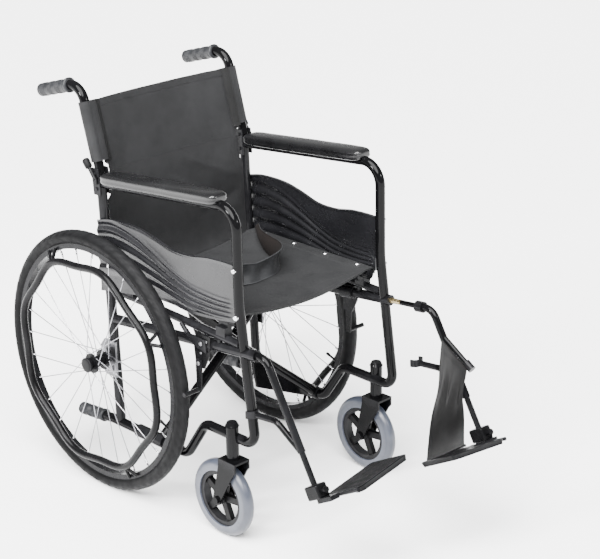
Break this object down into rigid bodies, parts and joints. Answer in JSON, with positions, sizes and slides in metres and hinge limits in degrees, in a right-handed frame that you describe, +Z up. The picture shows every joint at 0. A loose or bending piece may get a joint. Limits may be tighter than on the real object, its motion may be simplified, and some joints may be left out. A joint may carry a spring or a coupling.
{
  "type": "manual wheelchair",
  "caption": "Folding self-propelled wheelchair: spoked rear wheels with wavy handrims, swivelling casters, sling seat and back, fixed armrests, flip-up footrests.",
  "frame": {"origin": "on the floor, under the middle of the chair's overall box", "axes": "the chair faces -Y, its left side is +X, +Z is up"},
  "size_m": [0.589, 1.1186, 0.9321],
  "materials": {
    "black_tube": "gloss",
    "zinc": "satin",
    "chrome": "polished",
    "spoke_wire": "polished",
    "pad": "satin",
    "guard": "satin",
    "grip": "matt",
    "black_plastic": "satin",
    "tyre": "matt",
    "rim": "satin",
    "caster_tyre": "satin",
    "brass": "satin",
    "sling": "woven"
  },
  "bodies": {
    "right_frame": {"front_tube_right": "black_tube", "side_rails_right": "black_tube", "rear_post_right": "black_tube", "axle_bracket_right": "zinc", "armrest_pad_right": "pad", "skirt_guard_right": "guard", "tipping_grip_right": "grip", "frame_screws_right": "chrome", "brake_bracket_right": "black_plastic", "back_hinge_right": "black_plastic", "back_sling_lower": "sling"},
    "left_frame": {"front_tube_left": "black_tube", "side_rails_left": "black_tube", "rear_post_left": "black_tube", "axle_bracket_left": "zinc", "armrest_pad_left": "pad", "skirt_guard_left": "guard", "tipping_grip_left": "grip", "frame_screws_left": "chrome", "brake_bracket_left": "black_plastic", "back_hinge_left": "black_plastic"},
    "cross_brace_b": {"cross_brace_b": "black_tube", "brace_bolt": "chrome"},
    "cross_brace_a": {"cross_brace_a": "black_tube", "seat_sling": "sling", "seat_belt": "sling"},
    "back_right": {"back_cane_right": "black_tube", "push_grip_right": "grip", "back_sling_upper": "sling"},
    "wheel_right": {"rear_tyre_right": "tyre", "rear_rim_right": "rim", "rear_hub_right": "black_plastic", "spokes_right": "spoke_wire", "handrim_right": "rim"},
    "fork_right": {"caster_fork_right": "black_plastic"},
    "caster_right": {"caster_wheel_right": "black_plastic", "caster_tyre_right": "caster_tyre"},
    "hanger_right": {"hanger_tube_right": "black_tube", "hanger_pin_right": "brass", "footplate_clamp_right": "black_tube"},
    "plate_right": {"footplate_right": "black_plastic"},
    "lever_right": {"brake_lever_right": "black_plastic"},
    "arm_right": {"brake_arm_right": "black_plastic"},
    "back_left": {"back_cane_left": "black_tube", "push_grip_left": "grip"},
    "wheel_left": {"rear_tyre_left": "tyre", "rear_rim_left": "rim", "rear_hub_left": "black_plastic", "spokes_left": "spoke_wire", "handrim_left": "rim"},
    "fork_left": {"caster_fork_left": "black_plastic"},
    "caster_left": {"caster_wheel_left": "black_plastic", "caster_tyre_left": "caster_tyre"},
    "hanger_left": {"hanger_tube_left": "black_tube", "hanger_pin_left": "brass", "footplate_clamp_left": "black_tube", "calf_strap": "sling"},
    "plate_left": {"footplate_left": "black_plastic"},
    "lever_left": {"brake_lever_left": "black_plastic"},
    "arm_left": {"brake_arm_left": "black_plastic"}
  },
  "joints": [
    {"name": "fold", "type": "hinge", "parent": "right_frame", "child": "cross_brace_b", "pos_m": [-0.212, 0.0994, 0.144], "axis": [0, -1, 0], "range_deg": [0, 36], "deforming": ["seat_sling", "seat_belt", "back_sling_upper", "back_sling_lower"]},
    {"name": "brace_pivot", "type": "hinge", "parent": "cross_brace_b", "child": "cross_brace_a", "pos_m": [0, 0.0684, 0.315], "axis": [0, -1, 0], "range_deg": [-72, 0]},
    {"name": "left_rail_pivot", "type": "hinge", "parent": "cross_brace_a", "child": "left_frame", "pos_m": [0.212, 0.0374, 0.144], "axis": [0, -1, 0], "range_deg": [0, 36]},
    {"name": "back_fold_right", "type": "hinge", "parent": "right_frame", "child": "back_right", "pos_m": [-0.212, 0.2674, 0.735], "axis": [-1, 0, 0], "range_deg": [0, 88]},
    {"name": "wheel_spin_right", "type": "hinge", "parent": "right_frame", "child": "wheel_right", "pos_m": [-0.2585, 0.2544, 0.305], "axis": [1, 0, 0], "continuous": true},
    {"name": "caster_swivel_right", "type": "hinge", "parent": "right_frame", "child": "fork_right", "pos_m": [-0.222, -0.1516, 0.23], "axis": [0, 0, 1], "continuous": true},
    {"name": "caster_spin_right", "type": "hinge", "parent": "fork_right", "child": "caster_right", "pos_m": [-0.222, -0.1196, 0.088], "axis": [1, 0, 0], "continuous": true},
    {"name": "footrest_slide_right", "type": "slide", "parent": "right_frame", "child": "hanger_right", "axis": [0, -0.9947, 0.1033], "range_m": [0, 0.09]},
    {"name": "footplate_flip_right", "type": "hinge", "parent": "hanger_right", "child": "plate_right", "pos_m": [-0.194, -0.44819, 0.20519], "axis": [0, -0.8746, 0.4848], "range_deg": [0, 72]},
    {"name": "brake_lever_right", "type": "hinge", "parent": "right_frame", "child": "lever_right", "pos_m": [-0.228, -0.0696, 0.434], "axis": [1, 0, 0], "range_deg": [0, 40]},
    {"name": "brake_shoe_right", "type": "hinge", "parent": "right_frame", "child": "arm_right", "pos_m": [-0.228, -0.0596, 0.386], "axis": [1, 0, 0], "range_deg": [0, 4]},
    {"name": "back_fold_left", "type": "hinge", "parent": "left_frame", "child": "back_left", "pos_m": [0.212, 0.2674, 0.735], "axis": [-1, 0, 0], "range_deg": [0, 88]},
    {"name": "wheel_spin_left", "type": "hinge", "parent": "left_frame", "child": "wheel_left", "pos_m": [0.2585, 0.2544, 0.305], "axis": [1, 0, 0], "continuous": true},
    {"name": "caster_swivel_left", "type": "hinge", "parent": "left_frame", "child": "fork_left", "pos_m": [0.222, -0.1516, 0.23], "axis": [0, 0, 1], "continuous": true},
    {"name": "caster_spin_left", "type": "hinge", "parent": "fork_left", "child": "caster_left", "pos_m": [0.222, -0.1196, 0.088], "axis": [1, 0, 0], "continuous": true},
    {"name": "footrest_slide_left", "type": "slide", "parent": "left_frame", "child": "hanger_left", "axis": [0, -0.9947, 0.1033], "range_m": [-0.078, 0.012]},
    {"name": "footplate_flip_left", "type": "hinge", "parent": "hanger_left", "child": "plate_left", "pos_m": [0.194, -0.50829, 0.20355], "axis": [0, 0.8746, -0.4848], "range_deg": [0, 72], "deforming": ["calf_strap"]},
    {"name": "brake_lever_left", "type": "hinge", "parent": "left_frame", "child": "lever_left", "pos_m": [0.228, -0.0696, 0.434], "axis": [1, 0, 0], "range_deg": [0, 40]},
    {"name": "brake_shoe_left", "type": "hinge", "parent": "left_frame", "child": "arm_left", "pos_m": [0.228, -0.0596, 0.386], "axis": [1, 0, 0], "range_deg": [0, 4]}
  ],
  "couplings": [
    {"joint": "brace_pivot", "follows": "fold", "ratio": -2},
    {"joint": "left_rail_pivot", "follows": "fold", "ratio": 1},
    {"joint": "brake_shoe_right", "follows": "brake_lever_right", "ratio": 0.1},
    {"joint": "footplate_flip_right", "follows": "fold", "ratio": 2},
    {"joint": "brake_shoe_left", "follows": "brake_lever_left", "ratio": 0.1},
    {"joint": "footplate_flip_left", "follows": "fold", "ratio": 2},
    {"joint": "back_fold_left", "follows": "back_fold_right", "ratio": 1}
  ]
}
